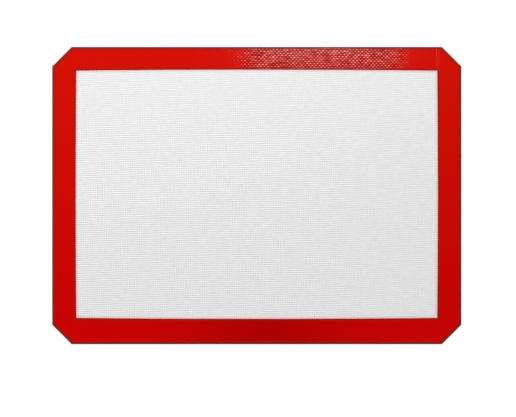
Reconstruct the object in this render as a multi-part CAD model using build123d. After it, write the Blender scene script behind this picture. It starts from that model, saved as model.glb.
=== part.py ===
# Silicone baking mat, lying flat.
#
# A woven glass cloth is coated with silicone on both faces. The coat is white in the middle,
# where food lies, and red round the border. The red border is laid in four bands on each face:
# the two side bands run the whole way from front to back, and the front and back bands lie
# between them. On the upper face each front and back band runs up in a low ridge where it
# meets a side band. A red seal closes the cut edge of the cloth all round.
#
# All sizes are in millimetres. X runs along the long edges, Y towards the back edge and Z up.
# The origin is the middle of the underside.

import os
from math import sqrt

from build123d import *

# Outline of the mat, seen from above
mat_length = 406.0
mat_width = 295.0
corner_leg = 19.3  # each corner is cut at 45 degrees, this far along both edges

# Border, from the outline to the corners of the window
side_border = 24.0
back_border = 23.6
front_border = 26.2

# The window's edges stand out a little in the middle
long_edge_bow = 1.0
short_edge_bow = 0.6

# Layers, from the underside up
lower_coat_thickness = 0.20
cloth_thickness = 0.30
window_coat_thickness = 0.20
border_coat_thickness = 0.25

# Seal round the cut edge
seal_width = 1.2
seal_rounding = 0.3

# Ridge over the seams between the bands of the upper face
ridge_width = 2.0
ridge_rise = 0.05

# Heights and edges that follow from the sizes above
cloth_bottom = lower_coat_thickness
cloth_top = cloth_bottom + cloth_thickness
border_top = cloth_top + border_coat_thickness
half_length = mat_length / 2
half_width = mat_width / 2
window_right = half_length - side_border
window_back = half_width - back_border
window_front = front_border - half_width


def outline_face(inset):
    """The mat's outline with its cut corners, moved in by inset on every edge."""
    x = half_length - inset
    y = half_width - inset
    leg = corner_leg - (2 - sqrt(2)) * inset
    corners = [
        (x, leg - y),
        (x, y - leg),
        (x - leg, y),
        (leg - x, y),
        (-x, y - leg),
        (-x, leg - y),
        (leg - x, -y),
        (x - leg, -y),
    ]
    return make_face(Polyline(corners, close=True))


def rectangle_face(left, right, front, back):
    """A rectangle between two places along X and two along Y."""
    middle = Pos((left + right) / 2, (front + back) / 2)
    return middle * Rectangle(right - left, back - front)


def window_face():
    """The window, with an arc along each edge."""
    middle_y = (window_front + window_back) / 2
    left_back = (-window_right, window_back)
    right_back = (window_right, window_back)
    right_front = (window_right, window_front)
    left_front = (-window_right, window_front)
    back_edge = ThreePointArc(left_back, (0, window_back + long_edge_bow), right_back)
    right_edge = ThreePointArc(right_back, (window_right + short_edge_bow, middle_y), right_front)
    front_edge = ThreePointArc(right_front, (0, window_front - long_edge_bow), left_front)
    left_edge = ThreePointArc(left_front, (-window_right - short_edge_bow, middle_y), left_back)
    return make_face(back_edge + right_edge + front_edge + left_edge)


def layer(face, bottom, thickness):
    """A flat layer with the shape of face, from bottom upwards."""
    return extrude(Pos(0, 0, bottom) * face, amount=thickness, dir=(0, 0, 1))


def band_face(left, right, front, back):
    """The part of the border inside a rectangle: it ends at the seal and at the window."""
    return outline_face(seal_width) & rectangle_face(left, right, front, back) - window_face()


def band_faces():
    """The four bands of the border, by the name of the edge that each one lies along."""
    return {
        "left": band_face(-half_length, -window_right, -half_width, half_width),
        "right": band_face(window_right, half_length, -half_width, half_width),
        "back": band_face(-window_right, window_right, window_back, half_width),
        "front": band_face(-window_right, window_right, -half_width, window_front),
    }


def seam_ridges(front, back):
    """The two low ridges over the seams at the ends of the front or the back band."""
    ridges = []
    for seam in (-window_right, window_right):
        face = band_face(seam - ridge_width / 2, seam + ridge_width / 2, front, back)
        ridges.append(layer(face, border_top, ridge_rise))
    return ridges


def upper_bands():
    """The red bands of the upper face, with the ridges on the front and the back band."""
    bands = {}
    for edge, face in band_faces().items():
        bands[edge] = layer(face, cloth_top, border_coat_thickness)
    for ridge in seam_ridges(window_back, half_width):
        bands["back"] += ridge
    for ridge in seam_ridges(-half_width, window_front):
        bands["front"] += ridge
    return bands


def lower_bands():
    """The red bands of the underside, which meet edge to edge."""
    bands = {}
    for edge, face in band_faces().items():
        bands[edge] = layer(face, 0, lower_coat_thickness)
    return bands


def edge_seal():
    """The seal round the cut edge, as high as the border and rounded on the outside."""
    block = layer(outline_face(0), 0, border_top)
    rims = block.faces().sort_by(Axis.Z)[0].edges() + block.faces().sort_by(Axis.Z)[-1].edges()
    return fillet(rims, seal_rounding) - layer(outline_face(seal_width), 0, border_top)


def mat_parts():
    """Every piece of the mat by its name."""
    parts = {
        "glass_cloth": layer(outline_face(seal_width), cloth_bottom, cloth_thickness),
        "window_coat_lower": layer(window_face(), 0, lower_coat_thickness),
        "window_coat_upper": layer(window_face(), cloth_top, window_coat_thickness),
        "edge_seal": edge_seal(),
    }
    for edge, band in lower_bands().items():
        parts[f"border_band_lower_{edge}"] = band
    for edge, band in upper_bands().items():
        parts[f"border_band_upper_{edge}"] = band
    return parts


os.makedirs("parts", exist_ok=True)
for name, part in mat_parts().items():
    part.label = name
    export_step(part, f"parts/{name}.step")
    print(name, round(part.volume, 1), "mm3")
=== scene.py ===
import math

import bmesh
import bpy
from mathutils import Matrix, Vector


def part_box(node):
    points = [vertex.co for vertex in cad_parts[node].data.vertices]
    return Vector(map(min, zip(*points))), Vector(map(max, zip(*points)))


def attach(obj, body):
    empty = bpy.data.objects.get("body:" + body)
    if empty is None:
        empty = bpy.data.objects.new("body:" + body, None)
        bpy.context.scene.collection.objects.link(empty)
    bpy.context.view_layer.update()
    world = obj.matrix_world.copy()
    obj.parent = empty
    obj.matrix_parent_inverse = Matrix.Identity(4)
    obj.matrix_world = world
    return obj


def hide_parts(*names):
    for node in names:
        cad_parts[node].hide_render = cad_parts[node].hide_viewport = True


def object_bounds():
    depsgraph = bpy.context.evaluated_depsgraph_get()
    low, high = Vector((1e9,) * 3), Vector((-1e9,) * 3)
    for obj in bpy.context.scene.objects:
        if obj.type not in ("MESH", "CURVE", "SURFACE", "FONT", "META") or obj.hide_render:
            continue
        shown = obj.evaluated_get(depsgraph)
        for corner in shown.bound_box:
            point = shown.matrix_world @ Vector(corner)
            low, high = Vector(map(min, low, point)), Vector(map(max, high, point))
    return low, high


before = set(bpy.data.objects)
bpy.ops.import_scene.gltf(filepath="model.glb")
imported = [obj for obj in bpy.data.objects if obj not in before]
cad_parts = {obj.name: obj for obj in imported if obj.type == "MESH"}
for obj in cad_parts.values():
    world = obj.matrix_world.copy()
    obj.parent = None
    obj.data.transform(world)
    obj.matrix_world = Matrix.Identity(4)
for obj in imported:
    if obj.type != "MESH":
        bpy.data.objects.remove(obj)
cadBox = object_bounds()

# Baking mat: woven glass cloth between two coats of silicone, a white window and a glossy red border.
scene = bpy.context.scene
scene.view_settings.view_transform = "Standard"
turn = 2 * math.pi
print("frame loaded,", len(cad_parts), "nodes")

# camera, straight above the mat
cameraPlan = {"at": (0.0012, -0.0128, 1.2091), "lens": 85, "near": 0.05, "far": 40}
lensData = bpy.data.cameras.new("camera")
lensData.lens = cameraPlan["lens"]
lensData.clip_start, lensData.clip_end = cameraPlan["near"], cameraPlan["far"]
camera = bpy.data.objects.new("camera", lensData)
camera.location = cameraPlan["at"]
scene.collection.objects.link(camera)
scene.camera = camera
print("camera placed")


# shader maths: a wire is one output socket, and sums on it add Math nodes
class Wire:
    def __init__(self, finish, socket):
        self.finish, self.socket = finish, socket

    def maths(self, operation, *values):
        return self.finish.add("Math", {"operation": operation}, dict(enumerate(values)))

    def __add__(self, other): return self.maths("ADD", self, other)
    def __radd__(self, other): return self.maths("ADD", other, self)
    def __sub__(self, other): return self.maths("SUBTRACT", self, other)
    def __rsub__(self, other): return self.maths("SUBTRACT", other, self)
    def __mul__(self, other): return self.maths("MULTIPLY", self, other)
    def __rmul__(self, other): return self.maths("MULTIPLY", other, self)
    def __truediv__(self, other): return self.maths("DIVIDE", self, other)
    def __rtruediv__(self, other): return self.maths("DIVIDE", other, self)
    def __neg__(self): return self.maths("MULTIPLY", self, -1)
    def __abs__(self): return self.maths("ABSOLUTE", self)


class Finish:
    def __init__(self, name):
        self.material = bpy.data.materials.new(name)
        self.material.use_nodes = True
        self.tree = self.material.node_tree
        self.tree.nodes.clear()

    # any node: its type, its settings, then values or wires for its sockets
    def add(self, kind, settings={}, sockets={}, output=0):
        node = self.tree.nodes.new("ShaderNode" + kind)
        for name, value in settings.items():
            setattr(node, name, value)
        for name, value in sockets.items():
            found = [s for i, s in enumerate(node.inputs) if name in (i, s.identifier, s.name)]
            if isinstance(value, Wire):
                self.tree.links.new(value.socket, found[0])
            else:
                found[0].default_value = value
        outs = [s for i, s in enumerate(node.outputs) if output in (i, s.identifier)]
        return Wire(self, outs[0])

    def place(self):
        spot = self.add("TexCoord", {}, {}, 3)
        parts = [self.add("SeparateXYZ", {}, {"Vector": spot}, i) for i in (0, 1)]
        return spot, parts[0], parts[1]

    def noise(self, spot, scale, detail=2):
        return self.add("TexNoise", {}, {"Vector": spot, "Scale": scale, "Detail": detail})

    # noise stretched or moved on its way
    def streaks(self, spot, detail, **mapping):
        return self.noise(self.add("Mapping", {}, {"Vector": spot, **mapping}), 1, detail)

    def ramp(self, value, low, high):
        return self.add("MapRange", {"interpolation_type": "SMOOTHSTEP"},
                        {"Value": value, "From Min": low, "From Max": high})

    def mix(self, factor, first, second):
        return self.add("Mix", {"data_type": "RGBA"},
                        {"Factor_Float": factor, "A_Color": first, "B_Color": second}, "Result_Color")

    def tint(self, colour, amount):
        return self.add("VectorMath", {"operation": "SCALE"}, {"Vector": colour, "Scale": amount})

    # heights in metres
    def bump(self, height):
        return self.add("Bump", {}, {"Strength": 1.0, "Distance": 1.0, "Height": height})

    def surface(self, **sockets):
        shader = self.add("BsdfPrincipled", {}, {k.replace("_", " "): v for k, v in sockets.items()})
        return self.show(shader)

    def show(self, shader):
        out = self.tree.nodes.new("ShaderNodeOutputMaterial")
        self.tree.links.new(shader.socket, out.inputs["Surface"])
        return self.material


def sine(value): return value.maths("SINE", value) if isinstance(value, Wire) else math.sin(value)
def cosine(value): return value.maths("COSINE", value) if isinstance(value, Wire) else math.cos(value)
def least(a, b): return a.maths("MINIMUM", a, b)
def most(a, b): return a.maths("MAXIMUM", a, b)
def root(value): return value.maths("SQRT", value)
def bell(value): return value.maths("EXPONENT", value * value * -1)


# the weave: yarn counts and relief, the same for the meshes and for the shaders. Each swing is a slow
# wave in the yarns: its size in yarns or in metres, where it starts and how long it is
yarns = {"pitchX": 0.00175, "pitchY": 0.001863, "lean": 0.004, "drop": 0.0215,
         "crown": 0.000020, "furrow": 0.000012,
         "swingAcross": (0.35, 0.121, 0.4), "swingAlong": (0.25, -0.085, 0.26), "sag": (0.000406, 0.02, 0.3)}


def swing(place, wave):
    size, start, length = wave
    return size * sine((place + start) * (turn / length))


def acrossCount(x, y):
    return (x + yarns["lean"] * y) / yarns["pitchX"] + swing(x, yarns["swingAcross"])


def alongCount(x, y):
    rows = y + yarns["drop"] * x - swing(x, yarns["sag"])
    return rows / yarns["pitchY"] + swing(y, yarns["swingAlong"])


# one at every other crossing, where a plain weave stands up, and minus one between them
def crossing(u, v):
    return cosine(u * math.pi) * cosine(v * math.pi)


def relief(x, y):
    u, v = acrossCount(x, y), alongCount(x, y)
    gaps = (cosine(u * turn) + cosine(v * turn)) / 2
    return crossing(u, v) * yarns["crown"] + gaps * yarns["furrow"]


reliefTop = yarns["crown"] + yarns["furrow"]

# the plan of the mat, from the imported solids
matEdge = {"x": cadBox[1].x, "y": cadBox[1].y, "leg": 0.0193}
clothEdge = {"x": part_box("glass_cloth")[1].x, "y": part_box("glass_cloth")[1].y, "leg": 0.0186}
window = {"side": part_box("border_band_lower_back")[1].x,
          "back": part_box("border_band_lower_back")[0].y,
          "front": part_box("border_band_lower_front")[1].y}
window["bowSide"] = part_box("window_coat_upper")[1].x - window["side"]
window["bowBack"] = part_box("window_coat_upper")[1].y - window["back"]
window["middle"] = (window["back"] + window["front"]) / 2
window["half"] = (window["back"] - window["front"]) / 2


def bow(share):
    return 1 - share * share


def backEdge(x): return window["back"] + window["bowBack"] * bow(x / window["side"])
def frontEdge(x): return window["front"] - window["bowBack"] * bow(x / window["side"])
def sideEdge(y): return window["side"] + window["bowSide"] * bow((y - window["middle"]) / window["half"])


def cornerDepth(x, y):
    return (matEdge["x"] + matEdge["y"] - matEdge["leg"] - abs(x) - abs(y)) * math.sqrt(0.5)


# distances in the shaders: out from the window, and in from the outline
def fromWindow(x, y):
    return most(abs(x) - sideEdge(y), most(y - backEdge(x), frontEdge(x) - y))


def fromOutline(x, y):
    return least(least(matEdge["x"] - abs(x), matEdge["y"] - abs(y)), cornerDepth(x, y))


# materials. A pair named Fade, Rise or From is where a ramp starts and ends, in metres for a Fade. A Scale
# is how fine a noise is
redPlan = {
    # border colour with painted light and shade: lighter at the back edge, darker to the front one, and a painted
    # shadow deepest in the middle of the front
    "back": (0.675, 0.0050, 0.0008, 1), "front": (0.658, 0.0012, 0.0008, 1), "paintedShadeFade": (-0.15, 0.13),
    "middle": (0.50, 0.0003, 0.0008, 1), "paintedShadowX": 0.010, "paintedShadowWidth": 0.078, "paintedShadowFade": (0.09, 0.125),
    # painted highlight at the back right: the strip lamp's glints on the yarns' crowns, with darker gaps between them
    "gap": (0.185, 0.0008, 0.0008, 1), "yarnGlint": (0.66, 0.020, 0.016, 1), "crown": (0.95, 0.38, 0.325, 1),
    "paintedGlints": 0.97, "glintDrift": 0.05, "glintLeftFade": (-0.027, 0.008), "glintRightFade": (-0.157, -0.128),
    "glintFrontFade": (0.115, 0.121), "outwardFade": (0.116, 0.146), "yarnGlintRise": (-0.9, 0.4),
    "crownRise": (0.3, 1.1), "crownShare": 0.60, "crownOutward": 0.62,
    "streakScale": (150, 520, 1), "streakShare": 1.2, "streakOutward": 1.4, "blotchScale": 60, "blotchShare": 0.8,
    # painted highlight along the seam, and painted shade along the window's edge and the outline
    "seam": (0.86, 0.036, 0.028, 1), "seamOff": 0.0012, "seamWidth": 0.0009, "seamShare": 0.30, "seamFade": 0.0010,
    "rim": (0.27, 0.014, 0.007, 1), "innerFade": (0.0008, 0.0034), "innerShare": 0.66,
    "outerFade": (0.0008, 0.0043), "outerShare": 0.92,
    # how much the crossings and the rows count in the pattern
    "crossings": 0.6, "rows": 0.4,
    # surface: swings in tone, heights in metres, and gloss, which the seal has less of; the seal's red is darkened as
    # painted shade along the outline
    "cloudScale": 14, "rippleScale": (55, 120, 1), "grainScale": 420, "peelScale": 1500,
    "mottle": 0.05, "grain": 0.05, "weave": 0.02,
    "clouds": 0.00006, "ripples": 0.00008, "peel": 0.0000014,
    "roughness": 0.10, "roughnessSpread": 0.04, "ior": 1.41, "sealRoughness": 0.50, "sealShade": 0.30}


def redSilicone(name, roughness, paintedShade=0.0):
    finish = Finish(name)
    spot, x, y = finish.place()
    clouds = finish.noise(spot, redPlan["cloudScale"])
    ripples = finish.streaks(spot, 2, Scale=redPlan["rippleScale"])
    grain = finish.noise(spot, redPlan["grainScale"], 3)
    peel = finish.noise(spot, redPlan["peelScale"])
    u, v = acrossCount(x, y), alongCount(x, y)
    crowns = crossing(u, v) * redPlan["crossings"] + cosine(v * turn) * redPlan["rows"]
    # painted light and shade: the border lighter at the back and darker to the front, with a painted shadow at the
    # middle of the front
    middle = bell((x - redPlan["paintedShadowX"]) / redPlan["paintedShadowWidth"])
    colour = finish.mix(finish.ramp(-y, *redPlan["paintedShadeFade"]), redPlan["back"], redPlan["front"])
    colour = finish.mix(middle * finish.ramp(-y, *redPlan["paintedShadowFade"]), colour, redPlan["middle"])
    # painted highlight on the right half of the back border: the strip lamp's glints on the yarns' crowns, with darker
    # gaps, stronger towards the outer edge
    drift = (clouds - 0.5) * redPlan["glintDrift"]
    paintedGlints = finish.ramp(x + drift, *redPlan["glintLeftFade"]) * finish.ramp(-x - drift, *redPlan["glintRightFade"])
    paintedGlints = paintedGlints * finish.ramp(y, *redPlan["glintFrontFade"]) * redPlan["paintedGlints"]
    streaks = finish.streaks(spot, 1, Scale=redPlan["streakScale"])
    blotches = finish.noise(spot, redPlan["blotchScale"])
    outward = finish.ramp(y, *redPlan["outwardFade"])
    yarnGlint = crowns + (streaks - 0.5) * (redPlan["streakShare"] + outward * redPlan["streakOutward"])
    yarnGlint = yarnGlint + (blotches - 0.5) * redPlan["blotchShare"]
    # the pale crowns are painted glints and the dark gaps the painted contrast between them
    crown = finish.ramp(yarnGlint, *redPlan["crownRise"]) * (redPlan["crownShare"] + outward * redPlan["crownOutward"])
    wovenGlints = finish.mix(finish.ramp(yarnGlint, *redPlan["yarnGlintRise"]), redPlan["gap"], redPlan["yarnGlint"])
    wovenGlints = finish.mix(crown, wovenGlints, redPlan["crown"])
    colour = finish.mix(paintedGlints, colour, wovenGlints)
    # a painted highlight along the seam at the back right, where the two bands' edges meet
    seam = bell((x - window["side"] - redPlan["seamOff"]) / redPlan["seamWidth"])
    seam = seam * finish.ramp(y - window["back"], -redPlan["seamFade"], redPlan["seamFade"])
    colour = finish.mix(seam * redPlan["seamShare"], colour, redPlan["seam"])
    # painted shade along the window's edge and the outline
    inner = (1 - finish.ramp(fromWindow(x, y), *redPlan["innerFade"])) * redPlan["innerShare"]
    outer = (1 - finish.ramp(fromOutline(x, y), *redPlan["outerFade"])) * redPlan["outerShare"]
    colour = finish.mix(most(inner, outer), colour, redPlan["rim"])
    tone = 1 + (clouds - 0.5) * redPlan["mottle"] + (grain - 0.5) * redPlan["grain"] + crowns * redPlan["weave"]
    height = clouds * redPlan["clouds"] + ripples * redPlan["ripples"] + peel * redPlan["peel"]
    return finish.surface(Base_Color=finish.tint(colour, tone * (1 - paintedShade)),
                          Roughness=roughness + grain * redPlan["roughnessSpread"],
                          IOR=redPlan["ior"], Normal=finish.bump(height))


whitePlan = {
    "colour": (0.862, 0.858, 0.862, 1),
    # a little of the border's red has crept into the edge of the white
    "bleed": (0.90, 0.50, 0.50, 1), "bleedShare": 0.76, "bleedFade": (-0.0030, 0.0),
    # the coat lies thicker towards the back and the right, where the yarns show less
    "shown": 0.54, "shownMore": 0.46, "shownY": (0.125, 0.02, 0.09), "shownX": (0.15, 0.02, 0.10),
    # swings in tone of the rows and columns of yarns, which show in patches: partly the yarns seen through the coat,
    # partly painted shade of their relief
    "rows": 0.208, "columns": 0.054, "rowsFrom": (0.22, 0.70), "columnsFrom": (0.42, 0.66),
    "patchScale": 110, "columnsMoved": (3, 5, 0),
    # single yarns differ in thickness along their length: dashes in a row and posts in a column. Each
    # pair is how far they swing its tone, and what is left of it without them
    "dashes": 0.14, "posts": 0.08, "alongYarn": 0.22, "acrossYarn": 1.1, "postsMoved": 7,
    "rowSwing": (1.2, 0.4), "columnSwing": (2.4, 0.8),
    "contrast": 1.15, "grain": 0.05, "grainScale": 700, "mottle": 0.012, "cloudScale": 22,
    "grainHeight": 0.000003, "roughness": 0.42, "roughnessSpread": 0.08, "ior": 1.41}


def whiteSilicone(name):
    finish = Finish(name)
    spot, x, y = finish.place()
    clouds = finish.noise(spot, whitePlan["cloudScale"])
    grain = finish.noise(spot, whitePlan["grainScale"], 3)
    (farY, *fadeY), (farX, *fadeX) = whitePlan["shownY"], whitePlan["shownX"]
    shown = whitePlan["shown"] + whitePlan["shownMore"] * finish.ramp(farY - y, *fadeY) * finish.ramp(farX - x, *fadeX)
    u, v = acrossCount(x, y), alongCount(x, y)
    along, across = whitePlan["alongYarn"], whitePlan["acrossYarn"]
    dashes = finish.noise(finish.add("CombineXYZ", {}, {0: u * along, 1: v * across}), 1, 1)
    posts = finish.add("CombineXYZ", {}, {0: u * across, 1: v * along, 2: whitePlan["postsMoved"]})
    posts = finish.noise(posts, 1, 1)
    uneven = (dashes - 0.5) * whitePlan["dashes"] + (posts - 0.5) * whitePlan["posts"]
    rowsShow = finish.noise(spot, whitePlan["patchScale"], 1)
    moved = finish.add("Mapping", {}, {"Vector": spot, "Location": whitePlan["columnsMoved"]})
    columnsShow = finish.noise(moved, whitePlan["patchScale"], 1)
    # rows and columns: the yarns' own pattern through the coat, partly painted shade of their relief
    rows = cosine(v * turn) * whitePlan["rows"] * finish.ramp(rowsShow, *whitePlan["rowsFrom"])
    columns = cosine(u * turn) * whitePlan["columns"] * finish.ramp(columnsShow, *whitePlan["columnsFrom"])
    (rowGain, rowRest), (columnGain, columnRest) = whitePlan["rowSwing"], whitePlan["columnSwing"]
    pattern = rows * (dashes * rowGain + rowRest) + columns * (posts * columnGain + columnRest)
    pattern = shown * pattern * whitePlan["contrast"]
    tone = 1 + pattern + uneven + (grain - 0.5) * whitePlan["grain"] + (clouds - 0.5) * whitePlan["mottle"]
    bleed = finish.ramp(fromWindow(x, y), *whitePlan["bleedFade"]) * whitePlan["bleedShare"]
    colour = finish.mix(bleed, whitePlan["colour"], whitePlan["bleed"])
    return finish.surface(Base_Color=finish.tint(colour, tone),
                          Roughness=whitePlan["roughness"] + (clouds - 0.5) * whitePlan["roughnessSpread"],
                          IOR=whitePlan["ior"], Normal=finish.bump(relief(x, y) + grain * whitePlan["grainHeight"]))


clothPlan = {"colour": (0.80, 0.80, 0.775, 1), "gap": (0.52, 0.52, 0.50, 1), "gapFrom": (0.6, 1.8),
             "strands": 6, "strandHeight": 0.000004, "overFrom": (-0.2, 0.2), "relief": 2,
             "fuzz": 0.12, "fuzzScale": 2600, "tone": 0.94, "roughness": 0.38, "ior": 1.5}


def glassWeave(name):
    finish = Finish(name)
    spot, x, y = finish.place()
    u, v = acrossCount(x, y), alongCount(x, y)
    over = crossing(u, v)
    gaps = finish.ramp(-(cosine(u * turn) + cosine(v * turn)), *clothPlan["gapFrom"])
    strands = sine(u * (turn * clothPlan["strands"])) * finish.ramp(over, *clothPlan["overFrom"])
    threads = sine(v * (turn * clothPlan["strands"])) * finish.ramp(-over, *clothPlan["overFrom"])
    height = relief(x, y) * clothPlan["relief"] + (strands + threads) * clothPlan["strandHeight"]
    fuzz = finish.noise(spot, clothPlan["fuzzScale"], 3) * clothPlan["fuzz"]
    colour = finish.mix(gaps, clothPlan["colour"], clothPlan["gap"])
    return finish.surface(Base_Color=finish.tint(colour, fuzz + clothPlan["tone"]),
                          Roughness=fuzz + clothPlan["roughness"], IOR=clothPlan["ior"], Normal=finish.bump(height))


redTop = redSilicone("redSilicone", redPlan["roughness"])
# the seal's red, darkened as painted shade along the outline
redRim = redSilicone("redSiliconeRim", redPlan["sealRoughness"], redPlan["sealShade"])
white = whiteSilicone("whiteSilicone")
weave = glassWeave("glassWeave")
print("materials made")


# an object from its mesh, and a piece of the mat from its mesh
def objectFrom(bm, name, finish):
    mesh = bpy.data.meshes.new(name)
    bm.to_mesh(mesh)
    bm.free()
    mesh.materials.append(finish)
    made = bpy.data.objects.new(name, mesh)
    scene.collection.objects.link(made)
    return made


def makePiece(bm, name, finish, node):
    bmesh.ops.recalc_face_normals(bm, faces=bm.faces)
    piece = objectFrom(bm, name, finish)
    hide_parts(node)
    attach(piece, "root")
    print(name, len(piece.data.polygons), "faces")
    return piece


def vertsIn(parts): return [p for p in parts if isinstance(p, bmesh.types.BMVert)]
def facesIn(parts): return [p for p in parts if isinstance(p, bmesh.types.BMFace)]
def clamp(value, low, high): return min(max(value, low), high)


def shade(faces, smooth):
    for face in faces:
        face.smooth = smooth


# the open rim, marked sharp so that the top's shading stops there
def sharpRim(bm):
    rim = [e for e in bm.edges if e.is_boundary]
    for edge in rim:
        edge.smooth = False
    return rim


# walls and a flat far side for an open skin
def closeTo(bm, height):
    made = bmesh.ops.extrude_edge_only(bm, edges=sharpRim(bm))["geom"]
    for vert in vertsIn(made):
        vert.co.z = height
    shade(facesIn(made), False)
    far = [e for e in bm.edges if e.is_boundary]
    shade(bmesh.ops.holes_fill(bm, edges=far, sides=0)["faces"], False)


def cutCorners(bm, edge):
    reach = edge["x"] + edge["y"] - edge["leg"]
    for signX in (-1, 1):
        for signY in (-1, 1):
            geom = bm.verts[:] + bm.edges[:] + bm.faces[:]
            bmesh.ops.bisect_plane(bm, geom=geom, dist=1e-7, clear_outer=True,
                                   plane_co=(signX * reach / 2, signY * reach / 2, 0),
                                   plane_no=(signX, signY, 0))


# nets: yarns to spare past each edge, steps towards each crossing, and how near to an edge
# a crossing moves onto it
netPlan = {"spareX": 2, "spareY": 8, "steps": 6, "stride": 0.9, "snap": 0.0003, "merge": 0.0001}


# a net of vertices, one at each crossing of the yarns
def yarnNet(bm, reachX, back, front):
    left = math.floor(acrossCount(-reachX, 0)) - netPlan["spareX"]
    right = math.ceil(acrossCount(reachX, 0)) + netPlan["spareX"]
    low = math.floor(alongCount(reachX, front)) - netPlan["spareY"]
    high = math.ceil(alongCount(reachX, back)) + netPlan["spareY"]
    bmesh.ops.create_grid(bm, x_segments=right - left, y_segments=high - low, size=0.5)
    for vert in bm.verts:
        u = left + (vert.co.x + 0.5) * (right - left)
        v = low + (vert.co.y + 0.5) * (high - low)
        x, y = u * yarns["pitchX"], v * yarns["pitchY"]
        for step in range(netPlan["steps"]):
            x += (u - acrossCount(x, y)) * yarns["pitchX"] * netPlan["stride"]
            y += (v - alongCount(x, y)) * yarns["pitchY"] * netPlan["stride"]
        vert.co = x, y, 0


# window coats
windowPlan = {"topHeight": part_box("window_coat_upper")[1].z, "topFloor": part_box("window_coat_upper")[0].z,
              "underCeiling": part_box("window_coat_lower")[1].z, "spare": 0.002}


def windowCoat(name, node, upper):
    bm = bmesh.new()
    spare = windowPlan["spare"]
    yarnNet(bm, window["side"] + spare, window["back"] + spare, window["front"] - spare)
    outside = [f for f in bm.faces if all(abs(v.co.x) >= sideEdge(v.co.y) for v in f.verts)
               or all(v.co.y >= backEdge(v.co.x) for v in f.verts)
               or all(v.co.y <= frontEdge(v.co.x) for v in f.verts)]
    bmesh.ops.delete(bm, geom=outside, context="FACES")
    for vert in bm.verts:
        x, y = vert.co.x, vert.co.y
        reach = sideEdge(clamp(y, window["front"], window["back"]))
        if abs(x) > reach - netPlan["snap"]:
            x = math.copysign(reach, x)
        within = clamp(x, -window["side"], window["side"])
        if y > backEdge(within) - netPlan["snap"]:
            y = backEdge(within)
        if y < frontEdge(within) + netPlan["snap"]:
            y = frontEdge(within)
        vert.co.x, vert.co.y = x, y
    bmesh.ops.remove_doubles(bm, verts=bm.verts, dist=netPlan["merge"])
    bmesh.ops.poke(bm, faces=bm.faces)
    shade(bm.faces, True)
    for vert in bm.verts:
        height = relief(vert.co.x, vert.co.y) - reliefTop
        vert.co.z = windowPlan["topHeight"] + height if upper else -height
    closeTo(bm, windowPlan["topFloor"] if upper else windowPlan["underCeiling"])
    makePiece(bm, name, white, node)


windowCoat("windowCoatTop", "window_coat_upper", True)
windowCoat("windowCoatUnder", "window_coat_lower", False)

# glass cloth, a sheet with the yarns' relief on both faces
clothSizes = {"low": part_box("glass_cloth")[0].z, "high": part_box("glass_cloth")[1].z, "rise": 0.00003,
              "flat": (2 * clothEdge["x"], 2 * clothEdge["y"]), "area": 0.1174}


def glassCloth():
    bm = bmesh.new()
    reachX, reachY = clothEdge["x"], clothEdge["y"]
    yarnNet(bm, reachX, reachY, -reachY)
    outside = [f for f in bm.faces if all(abs(v.co.x) >= reachX for v in f.verts)
               or all(abs(v.co.y) >= reachY for v in f.verts)]
    bmesh.ops.delete(bm, geom=outside, context="FACES")
    for vert in bm.verts:
        if abs(vert.co.x) > reachX - netPlan["snap"]:
            vert.co.x = math.copysign(reachX, vert.co.x)
        if abs(vert.co.y) > reachY - netPlan["snap"]:
            vert.co.y = math.copysign(reachY, vert.co.y)
    bmesh.ops.remove_doubles(bm, verts=bm.verts, dist=netPlan["merge"])
    cutCorners(bm, clothEdge)
    shade(bm.faces, True)
    far = bmesh.ops.duplicate(bm, geom=bm.verts[:] + bm.edges[:] + bm.faces[:])["geom"]
    under = set(vertsIn(far))
    for vert in bm.verts:
        sink = clothSizes["rise"] * (1 - crossing(acrossCount(vert.co.x, vert.co.y), alongCount(vert.co.x, vert.co.y)))
        vert.co.z = clothSizes["low"] + sink if vert in under else clothSizes["high"] - sink
    bmesh.ops.reverse_faces(bm, faces=facesIn(far))
    shade(bmesh.ops.bridge_loops(bm, edges=sharpRim(bm))["faces"], False)
    return makePiece(bm, "glassCloth", weave, "glass_cloth")


cloth = glassCloth()

# border bands: faces per yarn, the lip that rolls down to the window, and the ridges over the seams,
# of which only the one at the back right shows
bandPlan = {"top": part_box("border_band_upper_left")[1].z, "perYarn": 4, "perYarnUnder": 2,
            "lip": 0.00004, "lipWidth": 0.0005, "ridge": 0.00005, "ridgeHalf": 0.001, "ridgeHidden": 0.1}


def ridgeOver(x, y):
    if frontEdge(window["side"]) < y < backEdge(window["side"]):
        return 0
    near = abs(abs(x) - window["side"]) / bandPlan["ridgeHalf"]
    rise = bandPlan["ridge"] * (1.0 if x > 0 and y > 0 else bandPlan["ridgeHidden"])
    return rise * math.cos(near * math.pi / 2) ** 2 if near < 1 else 0


def outFrom(x, y):
    within = clamp(x, -window["side"], window["side"])
    return max(abs(x) - sideEdge(clamp(y, window["front"], window["back"])),
               y - backEdge(within), frontEdge(within) - y)


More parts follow.
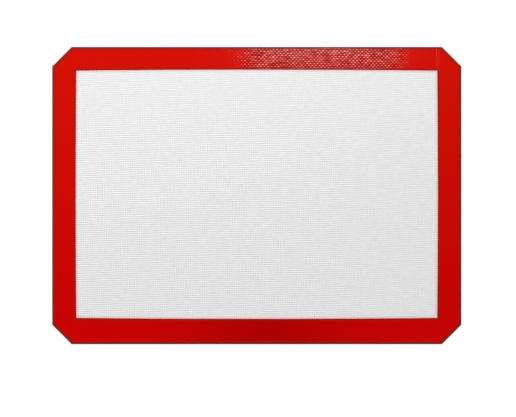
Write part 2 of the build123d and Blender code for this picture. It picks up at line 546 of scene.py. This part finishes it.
def band(name, node, side, upper):
    bm = bmesh.new()
    low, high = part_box(node)
    per = bandPlan["perYarn"] if upper else bandPlan["perYarnUnder"]
    sizeX = clothEdge["x"] - window["side"] if side in ("left", "right") else 2 * window["side"]
    sizeY = {"left": 2 * clothEdge["y"], "right": 2 * clothEdge["y"],
             "back": clothEdge["y"] - window["back"], "front": clothEdge["y"] + window["front"]}[side]
    bmesh.ops.create_grid(bm, x_segments=round(sizeX / yarns["pitchX"] * per),
                          y_segments=round(sizeY / yarns["pitchY"] * per), size=0.5)
    for vert in bm.verts:
        s, t = vert.co.x + 0.5, vert.co.y + 0.5
        if side in ("left", "right"):
            y = clothEdge["y"] * (2 * t - 1)
            inner = sideEdge(clamp(y, window["front"], window["back"]))
            start = inner if side == "right" else -clothEdge["x"]
            x = start + (clothEdge["x"] - inner) * s
        else:
            x = window["side"] * (2 * s - 1)
            if side == "back":
                y = backEdge(x) + (clothEdge["y"] - backEdge(x)) * t
            else:
                y = -clothEdge["y"] + (frontEdge(x) + clothEdge["y"]) * t
        vert.co = x, y, 0
    if side in ("left", "right"):
        cutCorners(bm, clothEdge)
    shade(bm.faces, True)
    for vert in bm.verts:
        x, y = vert.co.x, vert.co.y
        near = clamp(outFrom(x, y) / bandPlan["lipWidth"], 0, 1)
        height = relief(x, y) - reliefTop - bandPlan["lip"] * (1 - near) ** 2
        vert.co.z = bandPlan["top"] + height + ridgeOver(x, y) if upper else -height
    closeTo(bm, low.z if upper else high.z)
    makePiece(bm, name, redTop, node)


for side in ("left", "right", "back", "front"):
    band("border" + side.capitalize() + "Top", "border_band_upper_" + side, side, True)
    band("border" + side.capitalize() + "Under", "border_band_lower_" + side, side, False)

# seal over the cut edge of the cloth, rounded outside, with a slight wave along its top
sealPlan = {"width": matEdge["x"] - clothEdge["x"], "height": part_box("edge_seal")[1].z,
            "rounding": 0.0003, "facets": 4, "sharp": 40, "step": 0.006, "halvings": 7,
            "wave": 0.00003, "waveX": 210, "waveY": 170, "waveAbove": 0.0004, "waveWithin": 0.6}
tiny = 1e-5


def fromEdge(spot):
    return min(matEdge["x"] - abs(spot.x), matEdge["y"] - abs(spot.y), cornerDepth(spot.x, spot.y))


def edgeSeal():
    bm = bmesh.new()
    bmesh.ops.create_grid(bm, x_segments=1, y_segments=1, size=0.5)
    for vert in bm.verts:
        vert.co.x *= 2 * matEdge["x"]
        vert.co.y *= 2 * matEdge["y"]
    bmesh.ops.bevel(bm, geom=bm.verts[:], affect="VERTICES", offset=matEdge["leg"], offset_type="OFFSET",
                    segments=1, profile=0.5, material=-1)
    bmesh.ops.inset_region(bm, faces=bm.faces[:], thickness=sealPlan["width"], use_even_offset=True,
                           use_boundary=True)
    middle = max(bm.faces, key=lambda f: f.calc_area())
    bmesh.ops.delete(bm, geom=[middle], context="FACES")
    raised = bmesh.ops.extrude_face_region(bm, geom=bm.faces[:])["geom"]
    bmesh.ops.translate(bm, verts=vertsIn(raised), vec=(0, 0, sealPlan["height"]))
    bmesh.ops.recalc_face_normals(bm, faces=bm.faces)
    outer = [e for e in bm.edges if all(fromEdge(v.co) < tiny for v in e.verts)
             and abs(e.verts[0].co.z - e.verts[1].co.z) < tiny]
    bmesh.ops.bevel(bm, geom=outer, affect="EDGES", offset=sealPlan["rounding"], offset_type="OFFSET",
                    segments=sealPlan["facets"], profile=0.5, material=-1)
    for halving in range(sealPlan["halvings"]):
        long = [e for e in bm.edges if e.calc_length() > sealPlan["step"]]
        if long:
            bmesh.ops.subdivide_edges(bm, edges=long, cuts=1, use_grid_fill=True)
    shade(bm.faces, True)
    for edge in bm.edges:
        edge.smooth = len(edge.link_faces) == 2 and edge.calc_face_angle(0) < math.radians(sealPlan["sharp"])
    for vert in bm.verts:
        if vert.co.z > sealPlan["waveAbove"] and fromEdge(vert.co) < sealPlan["width"] * sealPlan["waveWithin"]:
            swell = math.sin(vert.co.x * sealPlan["waveX"] + vert.co.y * sealPlan["waveY"])
            vert.co.z -= sealPlan["wave"] * (1 + swell) / 2
    makePiece(bm, "edgeSeal", redRim, "edge_seal")


edgeSeal()

# floor and far wall, white to the camera and in reflections
floorPlan = {"radius": 7, "sides": 96, "wallHeight": 3.2, "drop": -0.00005, "grey": 0.86,
             "glow": 1.10, "nearShare": 0.86, "farFrom": (0.35, 1.2)}


def backdropFinish():
    finish = Finish("floorWhite")
    spot, x, y = finish.place()
    path = finish.add("LightPath", {}, {}, 0)
    kinds = ("Is Camera Ray", "Is Glossy Ray", "Is Transmission Ray")
    rays = [Wire(finish, path.socket.node.outputs[kind]) for kind in kinds]
    seen = least(rays[0] + rays[1] + rays[2], 1)
    distance = root(x * x + y * y)
    near = floorPlan["nearShare"]
    share = seen * (near + (1 - near) * finish.ramp(distance, *floorPlan["farFrom"]))
    plain = finish.add("BsdfDiffuse", {}, {"Color": (floorPlan["grey"],) * 3 + (1,)})
    glow = finish.add("Emission", {}, {"Color": (1, 1, 1, 1), "Strength": floorPlan["glow"]})
    return finish.show(finish.add("MixShader", {}, {0: share, 1: plain, 2: glow}))


def makeStage():
    bm = bmesh.new()
    bmesh.ops.create_circle(bm, cap_ends=True, segments=floorPlan["sides"], radius=floorPlan["radius"])
    bmesh.ops.translate(bm, verts=bm.verts, vec=(0, 0, floorPlan["drop"]))
    rim = [e for e in bm.edges if e.is_boundary]
    raised = bmesh.ops.extrude_edge_only(bm, edges=rim)["geom"]
    bmesh.ops.translate(bm, verts=vertsIn(raised), vec=(0, 0, floorPlan["wallHeight"]))
    objectFrom(bm, "floor", backdropFinish())


makeStage()
print("floor and wall made")

# light: a tent that is dark overhead, which keeps the red deep, a soft lamp at the back left, and a strip
# lamp whose mirror image lies just past the back edge, so that only the yarns' crowns catch it
tentPlan = {"radius": 1.5, "glow": 1.02, "right": -0.12, "back": 0.10, "overhead": 0.01,
            "hoodFrom": (0.72, 0.90), "lowFrom": (0.20, 0.52), "lowShare": 0.10, "cut": 0.001, "subdivisions": 5}
softPlan = {"at": (-0.25, 0.80, 1.05), "towards": (0, 0, 0), "size": (0.9, 0.35), "power": 8.0}
stripPlan = {"at": (0.124, 0.40, 1.21), "towards": (0.124, 0.40, 0), "size": (0.20, 0.08), "power": 0.85}


def tentFinish():
    finish = Finish("tentGlow")
    spot = finish.add("TexCoord", {}, {}, 3)
    east, north, up = [finish.add("SeparateXYZ", {}, {"Vector": spot}, i) / tentPlan["radius"] for i in range(3)]
    low = finish.ramp(up, *tentPlan["lowFrom"]) * (1 - tentPlan["lowShare"]) + tentPlan["lowShare"]
    ring = (1 - finish.ramp(up, *tentPlan["hoodFrom"])) * low
    side = 1 + east * tentPlan["right"] + north * tentPlan["back"]
    strength = ring * side * tentPlan["glow"] + tentPlan["overhead"]
    glow = finish.add("Emission", {}, {"Color": (1, 1, 1, 1), "Strength": strength})
    finish.material.cycles.emission_sampling = "NONE"
    return finish.show(glow)


def makeTent():
    bm = bmesh.new()
    bmesh.ops.create_icosphere(bm, subdivisions=tentPlan["subdivisions"], radius=tentPlan["radius"])
    bmesh.ops.bisect_plane(bm, geom=bm.verts[:] + bm.edges[:] + bm.faces[:],
                           plane_co=(0, 0, tentPlan["cut"]), plane_no=(0, 0, 1), clear_inner=True)
    shade(bm.faces, True)
    tent = objectFrom(bm, "tent", tentFinish())
    tent.visible_camera = False
    tent.visible_shadow = False


def lampAt(name, plan):
    lampData = bpy.data.lights.new(name, "AREA")
    lampData.shape = "RECTANGLE"
    lampData.size, lampData.size_y = plan["size"]
    lampData.energy = plan["power"]
    lamp = bpy.data.objects.new(name, lampData)
    lamp.location = plan["at"]
    aim = Vector(plan["towards"]) - Vector(plan["at"])
    lamp.rotation_euler = aim.to_track_quat("-Z", "Y").to_euler()
    lamp.visible_camera = False
    scene.collection.objects.link(lamp)


makeTent()
lampAt("softLamp", softPlan)
lampAt("strip", stripPlan)

world = bpy.data.worlds.new("room")
world.use_nodes = True
world.node_tree.nodes["Background"].inputs["Color"].default_value = (0, 0, 0, 1)
scene.world = world
print("tent and lamps made")
